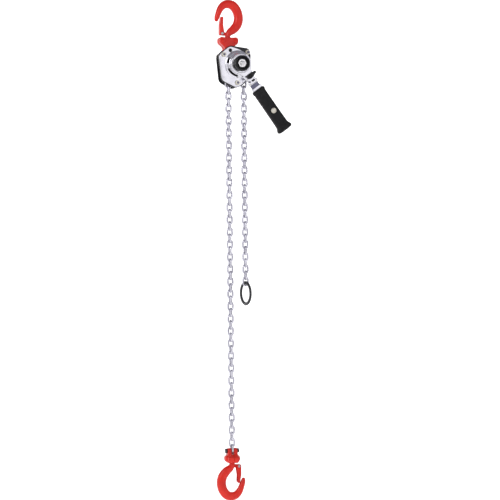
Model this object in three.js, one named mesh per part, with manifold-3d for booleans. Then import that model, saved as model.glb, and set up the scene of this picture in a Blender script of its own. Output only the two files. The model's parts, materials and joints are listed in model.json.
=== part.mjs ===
// Compact lever chain hoist, built as separate pieces. Millimetres, +Z up.
// The origin is the seat of the top hook's bowl. The load line is the Z axis, the lever and knob are on
// the -Y side (front), the gear case on the +Y side, and the slack chain hangs on the +X side.
import * as THREE from 'three';
import { mergeVertices } from 'three/addons/utils/BufferGeometryUtils.js';
import Module from 'manifold-3d';

const wasm = await Module();
wasm.setup();

// ---------------------------------------------------------------- driving dimensions
const GAP = 0.3;                       // clearance between pieces that touch
const PITCH = 12;                      // chain link pitch
const WIRE = 4;                        // chain wire diameter
const LINK_WIDTH = 13.6;               // outside width of a link
const SHEAVE_R = 15.85;                // pitch radius of the four-pocket load sheave
const SHAFT_X = SHEAVE_R;              // the load line is tangent to the sheave
const SHAFT_Z = -110;
const SLACK_X = 2 * SHEAVE_R;
const LENGTHS = 6;                     // moving lengths in each chain run
const LOAD_FIRST = 14;                 // last link of the fixed length of the load run
const LOAD_STEP = 8;                   // links in each moving length of the load run
const SLACK_FIRST = 11;
const SLACK_STEP = 4;

const PLATE = 2.5;                     // frame plate thickness
const PLATE_Y = 11;                    // inner face of each frame plate
const PLATE_OUT = PLATE_Y + PLATE;
const FLANGE_Y = PLATE_OUT + GAP;      // inner face of each cover's flange
const FLANGE_OUT = FLANGE_Y + 2;
const PIN_Z = -83;                     // top pin, which joins yoke and frame
const PIN_R = 3.4;
const STAYS = [[-13.7, -91.5], [36, -85.5], [13.7, -145.3]];
const STAY_R = 2.4;                    // threaded ends of the stay bolts

const DRUM_R = 25.2;
const DRUM_Y = 22.6;                   // front face of the brake drum
const SHAFT_R = 4.2;
const HUB_R = 7.2;                     // sheave hub, running in the frame plates
const RATCHET_R = 17;
const PAWL_R = 20.4;                   // pawl pivots, from the shaft
const PAWL_ANGLES = [200 * Math.PI / 180, 20 * Math.PI / 180];
const GEAR_MODULE = 0.9;
const PINION_TEETH = 12;
const WHEEL_TEETH = 24;
const GEAR_CENTRES = GEAR_MODULE * (PINION_TEETH + WHEEL_TEETH) / 2;
const DISC_GEAR_ANGLE = 125 * Math.PI / 180;

const LEVER_ANGLE = 36.5 * Math.PI / 180;   // from straight down, towards +X
const LEVER_END = 156;
const GRIP_START = 60;
const HEAD_R = 20;                     // lever head
const SELECTOR_AT = 30;                // selector pivot, along the lever from the shaft
const KNOB_R = 15.6;
const KNOB_FRONT = 41.5;

const NECK_Z = -56;                    // where the hook's neck enters its yoke
const NECK_R = 5.2;
const HEAD_TOP = -63;                  // the turned head that swivels inside the yoke
const HEAD_BOTTOM = -70.7;
const HEAD_PIN_R = 7.5;
const LATCH_PIN = [-12.6, -49.5];
const LATCH_LENGTH = 33;

const LAST_LOAD_Z = SHAFT_Z - PITCH * (LOAD_FIRST + LENGTHS * LOAD_STEP);
const LAST_SLACK_Z = SHAFT_Z - PITCH * (SLACK_FIRST + LENGTHS * SLACK_STEP);
const CHAIN_PIN_R = 2.3;
const CHAIN_PIN_Z = LAST_LOAD_Z - 3.7;
const BOTTOM_SEAT_Z = CHAIN_PIN_Z - 79.9;
const RING_R = 20.6;                   // end ring, to the middle of its section
const RING_RADIAL = 3.2;               // half section, in the ring's plane
const RING_AXIAL = 2.3;                // half section, across it, to pass through a link
const RING_TURN = 0.12;                // how far the ring is turned out of the YZ plane

// ---------------------------------------------------------------- materials
const finish = (color, roughness, metalness) =>
  new THREE.MeshStandardMaterial({ color, roughness, metalness });
const RED = finish(0xd8261c, 0.35, 0);
const CHROME = finish(0xd9d9e4, 0.12, 1);
const STEEL = finish(0x9d9ca6, 0.35, 1);
const ZINC = finish(0xd8d2bf, 0.35, 1);
const BLACK = finish(0x17171a, 0.45, 0);
const RUBBER = finish(0x1b1b1d, 0.8, 0);
const LINING = finish(0x4a4038, 0.9, 0);

// ---------------------------------------------------------------- solids
// A closed three.js geometry as a manifold solid with its faces pointing out.
function solid(geometry) {
  const bare = geometry.clone();
  bare.deleteAttribute('normal');
  bare.deleteAttribute('uv');
  const merged = mergeVertices(bare, 1e-4);
  const points = merged.attributes.position;
  const corner = [0, 1, 2].map(() => new THREE.Vector3());
  const triangles = [];
  let volume = 0;
  for (let i = 0; i < merged.index.count; i += 3) {
    const [a, b, c] = [0, 1, 2].map((j) => merged.index.getX(i + j));
    if (a === b || b === c || c === a) continue;
    [a, b, c].forEach((vertex, j) => corner[j].fromBufferAttribute(points, vertex));
    volume += corner[0].dot(corner[1].clone().cross(corner[2]));
    triangles.push(a, b, c);
  }
  if (volume < 0) triangles.reverse();
  return new wasm.Manifold(new wasm.Mesh({
    numProp: 3,
    vertProperties: new Float32Array(points.array),
    triVerts: new Uint32Array(triangles),
  }));
}

const join = (...solids) => solids.reduce((all, next) => all.add(next));
const cut = (body, ...tools) => tools.reduce((rest, tool) => rest.subtract(tool), body);

function box(x0, x1, y0, y1, z0, z1) {
  const geometry = new THREE.BoxGeometry(x1 - x0, y1 - y0, z1 - z0);
  return solid(geometry.translate((x0 + x1) / 2, (y0 + y1) / 2, (z0 + z1) / 2));
}

// Round bars along each axis, given by the two other coordinates, the radius and the two ends.
function barY(x, z, r, y0, y1, sides = 14) {
  return solid(new THREE.CylinderGeometry(r, r, y1 - y0, sides).translate(x, (y0 + y1) / 2, z));
}

function barZ(x, y, r, z0, z1, sides = 14) {
  const geometry = new THREE.CylinderGeometry(r, r, z1 - z0, sides).rotateX(Math.PI / 2);
  return solid(geometry.translate(x, y, (z0 + z1) / 2));
}

function barX(y, z, r, x0, x1, sides = 14) {
  const geometry = new THREE.CylinderGeometry(r, r, x1 - x0, sides).rotateZ(Math.PI / 2);
  return solid(geometry.translate((x0 + x1) / 2, y, z));
}

// An outline drawn in X and Z, given thickness along Y; and one drawn in Y and Z, given thickness along X.
function plateY(shape, y0, y1, curveSegments = 3) {
  const geometry = new THREE.ExtrudeGeometry(shape, { depth: y1 - y0, bevelEnabled: false, curveSegments });
  return solid(geometry.rotateX(Math.PI / 2).translate(0, y1, 0));
}

function plateX(shape, x0, x1, curveSegments = 3) {
  const geometry = new THREE.ExtrudeGeometry(shape, { depth: x1 - x0, bevelEnabled: false, curveSegments });
  return solid(geometry.rotateX(Math.PI / 2).rotateZ(Math.PI / 2).translate(x0, 0, 0));
}

// A ring or disc turned about the Y axis through (x, z). The profile is a list of [radius, y].
function turned(profile, x = SHAFT_X, z = SHAFT_Z, sides = 24) {
  const points = profile.map(([r, y]) => new THREE.Vector2(r, y));
  if (profile[0][0] > 0) points.push(points[0].clone());
  return solid(new THREE.LatheGeometry(points, sides).translate(x, 0, z));
}

const washer = (inner, outer, y0, y1, x = SHAFT_X, z = SHAFT_Z, sides = 24) =>
  turned([[inner, y0], [outer, y0], [outer, y1], [inner, y1]], x, z, sides);

// A closed outline through the corners, each rounded by the given radius.
function rounded(corners, radius) {
  const shape = new THREE.Shape();
  corners.forEach(([x, z], i) => {
    const here = new THREE.Vector2(x, z);
    const last = new THREE.Vector2(...corners.at(i - 1));
    const next = new THREE.Vector2(...corners[(i + 1) % corners.length]);
    const enter = here.clone().add(last.sub(here).setLength(radius));
    const leave = here.clone().add(next.sub(here).setLength(radius));
    if (i === 0) shape.moveTo(enter.x, enter.y);
    else shape.lineTo(enter.x, enter.y);
    shape.quadraticCurveTo(x, z, leave.x, leave.y);
  });
  shape.closePath();
  return shape;
}

// The outline of two circles joined by straight tangents.
function stadium(x0, z0, x1, z1, radius) {
  const along = Math.atan2(z1 - z0, x1 - x0);
  const shape = new THREE.Shape();
  shape.absarc(x1, z1, radius, along - Math.PI / 2, along + Math.PI / 2, false);
  shape.absarc(x0, z0, radius, along + Math.PI / 2, along + Math.PI * 1.5, false);
  shape.closePath();
  return shape;
}

// A spur gear or ratchet outline: each tooth is a list of [share of the tooth pitch, radius].
function toothed(teeth, tooth, x = SHAFT_X, z = SHAFT_Z, turn = 0) {
  const shape = new THREE.Shape();
  for (let i = 0; i < teeth; i++) {
    tooth.forEach(([share, r], j) => {
      const angle = turn + (i + share) * 2 * Math.PI / teeth;
      const point = [x + r * Math.cos(angle), z + r * Math.sin(angle)];
      if (i + j === 0) shape.moveTo(...point);
      else shape.lineTo(...point);
    });
  }
  shape.closePath();
  return shape;
}

function spurGear(teeth, y0, y1, x, z, turn = 0) {
  const pitch = GEAR_MODULE * teeth / 2;
  const root = pitch - 1.25 * GEAR_MODULE;
  const tip = pitch + 0.8 * GEAR_MODULE;
  const tooth = [[-0.38, root], [-0.12, tip], [0.12, tip], [0.38, root]];
  return plateY(toothed(teeth, tooth, x, z, turn), y0, y1);
}

// A bar that follows a curve in the XZ plane. Each station is [x, z, half width in plane, half width in Y].
function taperedBar(stations, steps, sides) {
  const path = new THREE.CatmullRomCurve3(
    stations.map(([x, z]) => new THREE.Vector3(x, 0, z)), false, 'catmullrom');
  const size = new THREE.CatmullRomCurve3(
    stations.map(([, , a, b]) => new THREE.Vector3(a, b, 0)), false, 'catmullrom');
  const positions = [];
  const index = [];
  for (let i = 0; i <= steps; i++) {
    const centre = path.getPoint(i / steps);
    const tangent = path.getTangent(i / steps);
    const half = size.getPoint(i / steps);
    for (let j = 0; j < sides; j++) {
      const angle = 2 * Math.PI * j / sides;
      const side = half.x * Math.cos(angle);
      positions.push(centre.x + tangent.z * side, half.y * Math.sin(angle), centre.z - tangent.x * side);
    }
  }
  for (const end of [0, 1]) positions.push(...path.getPoint(end).toArray());
  const startCap = (steps + 1) * sides;
  for (let j = 0; j < sides; j++) {
    const k = (j + 1) % sides;
    for (let i = 0; i < steps; i++) {
      const [a, b, c, d] = [i * sides + j, i * sides + k, (i + 1) * sides + j, (i + 1) * sides + k];
      index.push(a, b, d, a, d, c);
    }
    index.push(startCap, k, j, startCap + 1, steps * sides + j, steps * sides + k);
  }
  const geometry = new THREE.BufferGeometry();
  geometry.setAttribute('position', new THREE.Float32BufferAttribute(positions, 3));
  geometry.setIndex(index);
  return solid(geometry);
}

// ---------------------------------------------------------------- the scene graph
const hoist = new THREE.Group();

// Adds a solid as a named mesh to a group, which is the whole hoist unless another one is given.
function piece(name, body, material, group = hoist) {
  const { vertProperties, triVerts } = body.getMesh();
  const geometry = new THREE.BufferGeometry();
  geometry.setAttribute('position', new THREE.Float32BufferAttribute(vertProperties, 3));
  geometry.setIndex(Array.from(triVerts));
  geometry.computeVertexNormals();
  const mesh = new THREE.Mesh(geometry, material);
  mesh.name = name;
  group.add(mesh);
}

// ---------------------------------------------------------------- hooks with their latches
// A hook with its bowl seat at the group's origin, its point on the -X side and its neck below.
function hookSolid() {
  const bar = taperedBar([
    [-23.4, -24.6, 3.2, 3], [-21.9, -18.8, 4.8, 4.1], [-19.4, -11.5, 5.4, 4.9], [-14.6, -1, 6.4, 5.8],
    [-7.5, 6.2, 7.4, 6.4], [1.5, 8.6, 8.3, 6.8], [11.5, 5.4, 8.7, 7], [19.3, -4.5, 8.9, 7],
    [22.4, -17.5, 9, 7], [20, -30.2, 9, 6.8], [12.4, -40, 8.4, 6.4], [4.6, -45.8, 7, 5.8],
    [0.5, -51.4, 5.5, 5.4], [0, -57, NECK_R, NECK_R], [0, HEAD_TOP - 1, NECK_R, NECK_R],
  ], 21, 8);
  const head = barZ(0, 0, HEAD_PIN_R, HEAD_BOTTOM, HEAD_TOP);
  const [x, z] = LATCH_PIN;
  const lug = join(barY(x, z, 3.4, -2, 2), box(x, 0, -2, 2, z - 3.2, z + 1.2));
  return cut(join(bar, head, lug), barY(x, z, 1.75, -3, 3, 10));
}

// The pressed latch: two cheeks on the pin and a web that rests inside the hook's point.
function latchSolid() {
  const [x, z] = LATCH_PIN;
  const tip = [x + 1, z + LATCH_LENGTH];
  const side = rounded([
    [x - 4.8, z - 3], [x + 3.6, z - 3], [x + 4.2, z + 4], [x + 2.2, z + 17], [x + 2.8, z + 31], tip,
    [x - 1.6, z + 32.5], [x - 4.6, z + 17],
  ], 1);
  const inside = join(
    box(x - 3.6, x + 9, -3.9, 3.9, z - 9, z + 13), box(x - 2.9, x + 9, -3.9, 3.9, z + 10, z + 21));
  return cut(plateY(side, -5.1, 5.1, 1), inside, barY(x, z, 1.75, -6, 6, 10));
}

function addHook(prefix, group) {
  const [x, z] = LATCH_PIN;
  piece(`${prefix}_hook`, hookSolid(), RED, group);
  piece(`${prefix}_latch`, latchSolid(), RED, group);
  const pin = join(
    barY(x, z, 1.4, -5.4, 5.4, 10), barY(x, z, 2.6, -6.6, -5.4, 10), barY(x, z, 2.6, 5.4, 6.6, 10));
  piece(`${prefix}_latch_pin`, pin, STEEL, group);
  piece(`${prefix}_latch_spring`, washer(1.8, 2.9, 2.3, 3.6, x, z, 10), STEEL, group);
}

const topHook = new THREE.Group();
const bottomHook = new THREE.Group();
bottomHook.position.z = BOTTOM_SEAT_Z;
bottomHook.rotation.y = Math.PI;
hoist.add(topHook, bottomHook);
addHook('top', topHook);
addHook('bottom', bottomHook);

// ---------------------------------------------------------------- yokes that hold the hooks
const YOKE_Y = 9.5;
const TOP_RIVETS = [-13.2, 13.2];
const TOP_RIVET_Z = -64.5;
const BOTTOM_RIVETS = [-11.2, 11.2];
const BOTTOM_RIVET_Z = BOTTOM_SEAT_Z - NECK_Z + 9;

// The hollow around a hook's neck and head, with dir -1 for a head below its neck and +1 above it.
function headHollow(seat, dir) {
  const span = (a, b) => [seat + dir * a, seat + dir * b].sort((p, q) => p - q);
  const neck = barZ(0, 0, NECK_R + 0.5, ...span(-NECK_Z - 2, -HEAD_TOP + 2));
  const head = barZ(0, 0, HEAD_PIN_R + 0.4, ...span(-HEAD_TOP - GAP, -HEAD_BOTTOM + GAP));
  return join(neck, head);
}

// A rivet is fast in the half at its negative end and clear of the other half, with a head on both.
function rivet(axisBar, across, z, half) {
  const shank = axisBar(across, z, 2.6, -half - 1, half + 1);
  const near = axisBar(across, z, 4.2, -half - 1.8, -half + 0.5);
  return join(shank, near, axisBar(across, z, 4.2, half + GAP, half + 2));
}

function addTopYoke() {
  const eye = 7.6;
  const outline = rounded([
    [-16, NECK_Z - 0.3], [16, NECK_Z - 0.3], [19.2, -60], [19, -68], [eye + 1.5, -76], [eye, PIN_Z - 1],
    [5.4, PIN_Z - 5.4], [0, PIN_Z - eye], [-5.4, PIN_Z - 5.4], [-eye, PIN_Z - 1], [-eye - 1.5, -76],
    [-19, -68], [-19.2, -60],
  ], 1.8);
  const hollows = [headHollow(0, -1), barY(0, PIN_Z, PIN_R + GAP, -12, 10)];
  const rivets = TOP_RIVETS.map((x) => rivet(barY, x, TOP_RIVET_Z, YOKE_Y));
  const rivetHoles = TOP_RIVETS.map((x) => barY(x, TOP_RIVET_Z, 2.9, -12, 10));
  piece('top_yoke_front', join(cut(plateY(outline, -YOKE_Y, -0.15), ...hollows), ...rivets), RED);
  piece('top_yoke_rear', cut(plateY(outline, 0.15, YOKE_Y), ...hollows, ...rivetHoles), RED);
  piece('top_pin', barY(0, PIN_Z, PIN_R, -PLATE_OUT, PLATE_OUT), STEEL);
}

function addBottomYoke() {
  const low = BOTTOM_SEAT_Z - NECK_Z + 0.3;
  const ear = 5.5;
  const slant = ear * Math.SQRT1_2;
  const outline = rounded([
    [-9, low], [9, low], [15.5, low + 4.5], [15.5, low + 12], [9, low + 15], [ear, low + 18.5],
    [ear, CHAIN_PIN_Z], [slant, CHAIN_PIN_Z + slant], [0, CHAIN_PIN_Z + ear], [-slant, CHAIN_PIN_Z + slant],
    [-ear, CHAIN_PIN_Z], [-ear, low + 18.5], [-9, low + 15], [-15.5, low + 12], [-15.5, low + 4.5],
  ], 1.4);
  const slot = box(-2.7, 2.7, -20, 20, CHAIN_PIN_Z - 7.1, CHAIN_PIN_Z + 12);
  const bore = barX(0, CHAIN_PIN_Z, CHAIN_PIN_R + GAP, -20, 20);
  const rivets = BOTTOM_RIVETS.map((y) => rivet(barX, y, BOTTOM_RIVET_Z, 10));
  const rivetHoles = BOTTOM_RIVETS.map((y) => join(
    barX(y, BOTTOM_RIVET_Z, 2.9, -20, 20), barX(y, BOTTOM_RIVET_Z, 4.2 + GAP, 10, 20)));
  const trims = [-1, 1].map((side) => {
    const ends = [side * 9.9, side * 20].sort((a, b) => a - b);
    return box(...ends, -20, 20, low + 17, CHAIN_PIN_Z + 12);
  });
  const hollows = [slot, bore, headHollow(BOTTOM_SEAT_Z, 1), ...trims];
  // each half swells out around the hook's head
  const ball = solid(new THREE.SphereGeometry(1, 16, 10).scale(16.3, 13, 8.3).translate(0, 0, low + 8.6));
  const swell = (x0, x1) => cut(ball, box(x0, x1, -20, 20, low - 1, low + 20));
  const left = join(plateX(outline, -10, -0.15), swell(-0.15, 20));
  const right = join(plateX(outline, 0.15, 10), swell(-20, 0.15));
  piece('bottom_yoke_left', join(cut(left, ...hollows), ...rivets), RED);
  piece('bottom_yoke_right', cut(right, ...hollows, ...rivetHoles), RED);
  const bolt = join(
    barX(0, CHAIN_PIN_Z, CHAIN_PIN_R, -11, 14.4), barX(0, CHAIN_PIN_Z, 5, -13.6, -10.2, 6));
  piece('chain_pin', bolt, BLACK);
  piece('chain_pin_nut', cut(barX(0, CHAIN_PIN_Z, 4.6, 10.2, 13.6, 6), bore), BLACK);
}

addTopYoke();
addBottomYoke();

// ---------------------------------------------------------------- frame and covers
const FRAME_CORNERS = [[-1, -73.3], [40, -78], [43, -94], [30, -147], [11, -156], [-18.5, -142], [-25, -92]];
const COVER_CORNERS = [
  [-1, -74.6], [20, -81], [37, -92], [42, -108], [37, -127], [27, -146], [12, -155], [-18, -141.3],
  [-24, -92.6],
];
const REAR_PLATE_CORNERS = [
  [-1, -73.3], [40, -78], [43, -94], [30, -147], [11, -156], [-15.5, -142], [-20.5, -92],
];
// the gear cover's flange
const REAR_CORNERS = [[-1, -76.5], [37, -80], [40, -94], [28, -144], [11, -153], [-13, -140], [-18.5, -93]];

const stayHoles = (y0, y1, r = STAY_R + 0.4) => STAYS.map(([x, z]) => barY(x, z, r, y0, y1));

function addFrame() {
  const holes = (y0, y1) => [
    ...stayHoles(y0, y1),
    barY(0, PIN_Z, PIN_R + GAP, y0, y1),
    barY(SHAFT_X, SHAFT_Z, HUB_R + 0.4, y0, y1, 24),
  ];
  const plate = (corners, y0, y1) => cut(plateY(rounded(corners, 4.5), y0, y1), ...holes(y0 - 1, y1 + 1));
  const pawlPins = PAWL_ANGLES.map((angle) => barY(
    SHAFT_X + PAWL_R * Math.cos(angle), SHAFT_Z + PAWL_R * Math.sin(angle), 1, -19, -PLATE_Y, 10));
  piece('frame_plate_front', join(plate(FRAME_CORNERS, -PLATE_OUT, -PLATE_Y), ...pawlPins), BLACK);
  piece('frame_plate_rear', plate(REAR_PLATE_CORNERS, PLATE_Y, PLATE_OUT), BLACK);

  const stayOut = FLANGE_OUT + 4.4;
  STAYS.forEach(([x, z], i) => {
    const spacer = barY(x, z, 3.5, -PLATE_Y + GAP, PLATE_Y - GAP);
    const head = barY(x, z, 4.6, FLANGE_OUT + GAP, stayOut - 1, 6);
    piece(`stay_bolt_${i + 1}`, join(spacer, head, barY(x, z, STAY_R, -stayOut, stayOut - 1)), ZINC);
    // the second stay carries only the frame plate at the front, beside the brake cover
    const frontSeat = i === 1 ? PLATE_OUT : FLANGE_OUT;
    const nut = (y0, y1) => cut(barY(x, z, 4.6, y0, y1, 6), barY(x, z, STAY_R + GAP, y0 - 1, y1 + 1));
    piece(`stay_nut_${i + 1}`, nut(-frontSeat - GAP - 3.2, -frontSeat - GAP), ZINC);
  });
}

// The brake cover: a flange on the frame and a stepped drum around the brake, open towards the frame.
function addBrakeCover() {
  const flange = plateY(rounded(COVER_CORNERS, 4.5), -FLANGE_OUT, -FLANGE_Y);
  const drum = turned([
    [0, -FLANGE_Y - 0.5], [DRUM_R, -FLANGE_Y - 0.5], [DRUM_R, -19.4], [DRUM_R - 1.4, -20.6],
    [DRUM_R - 3.2, -20.6], [DRUM_R - 4.6, -DRUM_Y], [0, -DRUM_Y],
  ]);
  const inside = turned([
    [0, -FLANGE_Y + 1], [DRUM_R - 1.4, -FLANGE_Y + 1], [DRUM_R - 1.4, -19], [DRUM_R - 4.4, -19.4],
    [DRUM_R - 6, -21.3], [0, -21.3],
  ]);
  const keyhole = join(
    barY(0, PIN_Z, 3, -20, -10), plateY(stadium(0, PIN_Z, 4.4, PIN_Z - 6.2, 1.5), -20, -10));
  const bore = barY(SHAFT_X, SHAFT_Z, 12.6, -30, -10, 24);
  piece('brake_cover', cut(join(flange, drum), inside, bore, keyhole, ...stayHoles(-20, -10)), CHROME);
}

const discGear = (side) => [
  SHAFT_X + side * GEAR_CENTRES * Math.cos(DISC_GEAR_ANGLE),
  SHAFT_Z + side * GEAR_CENTRES * Math.sin(DISC_GEAR_ANGLE),
];

// The gear cover: a flange behind the frame and a long raised case around the gear train.
function addGearCover() {
  const caseOut = 30.5;
  const ends = [...discGear(1), ...discGear(-1)];
  const flange = plateY(rounded(REAR_CORNERS, 4.5), FLANGE_Y, FLANGE_OUT);
  const raised = plateY(stadium(...ends, 14.4), FLANGE_Y, caseOut, 8);
  const inside = plateY(stadium(...ends, 12.8), FLANGE_Y - 1, caseOut - 1.8, 8);
  piece('gear_cover', cut(join(flange, raised), inside, ...stayHoles(10, 20)), BLACK);
}

function addChainGuides() {
  const [low, high] = [-140, -132];
  const wall = PLATE_Y - 0.4;
  const windows = [0, SLACK_X].map((x) => box(x - 7.6, x + 7.6, -7.6, 7.6, low - 1, high + 1));
  const middle = box(9.8, SLACK_X - 9.8, -7.6, 7.6, low - 1, high + 1);
  piece('chain_guide', cut(box(-10, SLACK_X + 10, -wall, wall, low, high), ...windows, middle), BLACK);
  const [x, z] = STAYS[2];
  const finger = rounded([
    [x - 5.6, z - 5], [x + 5.6, z - 5], [x + 5.6, z + 3.4], [x + 3.6, z + 5], [x + 3.2, z + 12],
    [SHAFT_X + 3, SHAFT_Z - 9.6], [SHAFT_X - 3, SHAFT_Z - 9.6], [x - 3.4, z + 12], [x - 3.6, z + 5],
    [x - 5.6, z + 3.4],
  ], 1.2);
  piece('chain_stripper', cut(plateY(finger, -2.1, 2.1), barY(x, z, 3.8, -4, 4)), STEEL);
}

addFrame();
addBrakeCover();
addGearCover();
addChainGuides();

// ---------------------------------------------------------------- load sheave and gear train
const LOAD_GEAR_Y = 15.2;
const GEAR_WIDTH = 4.6;
const WHEEL_Y = LOAD_GEAR_Y + GEAR_WIDTH + 0.6;

function addSheave() {
  const rim = 19.5;
  const body = turned([
    [SHAFT_R + 0.4, -PLATE_OUT], [HUB_R, -PLATE_OUT], [HUB_R, -10.2], [12, -10.2], [rim, -8.4], [rim, 8.4],
    [12, 10.2], [HUB_R, 10.2], [HUB_R, LOAD_GEAR_Y + GEAR_WIDTH], [SHAFT_R + 0.4, LOAD_GEAR_Y + GEAR_WIDTH],
  ]);
  const groove = washer(8.5, 26, -2.6, 2.6);
  const pockets = [0, 1, 2, 3].map((i) => {
    const geometry = new THREE.BoxGeometry(10, 14.6, 21.4).translate(13.5 + 5, 0, 0).rotateY(i * Math.PI / 2);
    return solid(geometry.translate(SHAFT_X, 0, SHAFT_Z));
  });
  piece('load_sheave', cut(body, groove, ...pockets), STEEL);
}

function addGears() {
  const wheelTurn = Math.PI / WHEEL_TEETH;
  const loadGear = spurGear(WHEEL_TEETH, LOAD_GEAR_Y, LOAD_GEAR_Y + GEAR_WIDTH, SHAFT_X, SHAFT_Z);
  piece('load_gear', cut(loadGear, barY(SHAFT_X, SHAFT_Z, HUB_R + GAP, 10, 30, 24)), STEEL);
  // at the meeting line each disc gear shows a gap where its partner on the shaft shows a tooth
  const meeting = DISC_GEAR_ANGLE;
  for (const [name, side] of [['disc_gear_a', 1], ['disc_gear_b', -1]]) {
    const [x, z] = discGear(side);
    const facingShaft = meeting + (side > 0 ? 0 : Math.PI);
    const facing = facingShaft + Math.PI;
    const loadPhase = phaseAt(WHEEL_TEETH, facingShaft);
    const pinionTurn = facing + (0.5 + loadPhase) * 2 * Math.PI / PINION_TEETH;
    const shaftPhase = phaseAt(PINION_TEETH, facingShaft);
    const wheel = spurGear(WHEEL_TEETH, WHEEL_Y, WHEEL_Y + GEAR_WIDTH, x, z,
      facing + (0.5 + shaftPhase) * 2 * wheelTurn);
    const pinion = spurGear(PINION_TEETH, LOAD_GEAR_Y, WHEEL_Y + 0.5, x, z, pinionTurn);
    piece(name, join(wheel, pinion, barY(x, z, 2, PLATE_OUT + 0.2, WHEEL_Y + GEAR_WIDTH + 2.6)), STEEL);
  }
}

// How far round its tooth pitch a gear with a tooth along +X is at an angle, as a share of one pitch.
function phaseAt(teeth, angle) {
  const share = angle * teeth / (2 * Math.PI);
  return share - Math.floor(share);
}

function addDriveShaft() {
  const end = WHEEL_Y + GEAR_WIDTH;
  const shaft = barY(SHAFT_X, SHAFT_Z, SHAFT_R, -KNOB_FRONT - 0.8, end + 1, 20);
  const pinion = spurGear(PINION_TEETH, WHEEL_Y, end, SHAFT_X, SHAFT_Z);
  piece('drive_shaft', join(shaft, pinion), STEEL);
}

addSheave();
addGears();
addDriveShaft();

// ---------------------------------------------------------------- load brake
const RATCHET_TEETH = 16;

function addBrake() {
  const bore = SHAFT_R + GAP;
  const hub = turned([[bore, -20.2], [bore, -14], [14.6, -14], [14.6, -15.5], [6, -15.5], [6, -20.2]]);
  piece('brake_hub', hub, STEEL);
  piece('friction_disc_inner', washer(6.4, 14.2, -16.8, -15.8), LINING);
  const tooth = [[0, RATCHET_R], [0.1, RATCHET_R - 2.2], [0.9, RATCHET_R - 0.1]];
  const ratchet = plateY(toothed(RATCHET_TEETH, tooth), -18.6, -17.1);
  piece('ratchet_disc', cut(ratchet, barY(SHAFT_X, SHAFT_Z, 6.4, -20, -16, 24)), STEEL);
  piece('friction_disc_outer', washer(6.4, 14.2, -19.9, -18.9), LINING);
  const teeth = toothed(20, [[-0.4, 10.2], [-0.2, 12], [0.2, 12], [0.4, 10.2]]);
  const gear = join(
    plateY(teeth, -29.1, -24.4),
    barY(SHAFT_X, SHAFT_Z, 10.2, -25, -20.6, 24),
    washer(3, 13.4, -21, -20.4));
  piece('change_gear', cut(gear, barY(SHAFT_X, SHAFT_Z, bore, -31, -19)), STEEL);
}

// A pawl on its pin, its nose resting in the ratchet's teeth. The angle places its pivot round the shaft.
function addPawl(name, angle) {
  const group = new THREE.Group();
  group.position.set(SHAFT_X, 0, SHAFT_Z);
  group.rotation.y = -angle;
  hoist.add(group);
  const side = rounded([
    [PAWL_R - 1.9, -1.5], [PAWL_R + 1.7, -2], [PAWL_R + 1.9, 2], [RATCHET_R + 2, 8.2], [RATCHET_R - 0.6, 8.6],
    [RATCHET_R + 0.5, 6],
  ], 0.5);
  const hole = barY(PAWL_R, 0, 1.3, -22, -10, 10);
  piece(name, cut(plateY(side, -18.6, -17.1, 2), hole), STEEL, group);
}

addBrake();
addPawl('pawl_a', PAWL_ANGLES[0]);
addPawl('pawl_b', PAWL_ANGLES[1]);

// ---------------------------------------------------------------- lever, selector and knob
// The lever's group has the shaft as its origin, and the lever runs along its -Z axis.
function addLever() {
  const group = new THREE.Group();
  group.position.set(SHAFT_X, 0, SHAFT_Z);
  group.rotation.y = -LEVER_ANGLE;
  hoist.add(group);

  const headOutline = (r, neck, length) => {
    const shape = new THREE.Shape();
    const start = Math.asin(Math.min(1, (neck + 2.5) / r));
    shape.absarc(0, 0, r, -Math.PI / 2 + start, Math.PI * 1.5 - start, false);
    shape.lineTo(-neck, -length);
    shape.lineTo(neck, -length);
    shape.closePath();
    return shape;
  };
  // a round pocket for the change gear, and a stepped one that leaves room for the selector's pawl to turn
  const cavity = join(
    barY(0, 0, HEAD_R - 2, -29.5, -24, 24),
    box(-8.5, 8.5, -29.5, -24, -SELECTOR_AT - 8, 0),
    box(-11, 11, -29.5, -24, -SELECTOR_AT + 7, -8));
  const rearPart = join(
    plateY(headOutline(HEAD_R, 10.5, 52), -27, -23), box(-9, 9, -27, -23, -LEVER_END + 4, -50));
  piece('lever_rear_shell', cut(rearPart, cavity, barY(0, 0, 10.8, -30, -20, 24)), CHROME, group);
  const frontPart = plateY(headOutline(HEAD_R, 10.5, 50), -30.6, -27 - GAP);
  const selectorHole = barY(0, -SELECTOR_AT, 3.4, -32, -26, 16);
  const shaftHole = barY(0, 0, 6, -32, -20, 24);
  piece('lever_front_shell', cut(frontPart, cavity, shaftHole, selectorHole), CHROME, group);

  const grip = rounded([
    [-12.4, -GRIP_START], [12.4, -GRIP_START], [12.6, -LEVER_END + 12], [16, -LEVER_END + 4],
    [15.4, -LEVER_END], [-15.4, -LEVER_END], [-16, -LEVER_END + 4], [-12.6, -LEVER_END + 12],
  ], 1.5);
  const sleeve = box(-9 - GAP, 9 + GAP, -27 - GAP, -23 + GAP, -LEVER_END + 4 - GAP, -GRIP_START + 5);
  const rivetHole = barY(0, -110.8, 2.4, -40, -10);
  piece('lever_grip', cut(plateY(grip, -32.5, -17.5), sleeve, rivetHole), RUBBER, group);
  return group;
}

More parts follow.
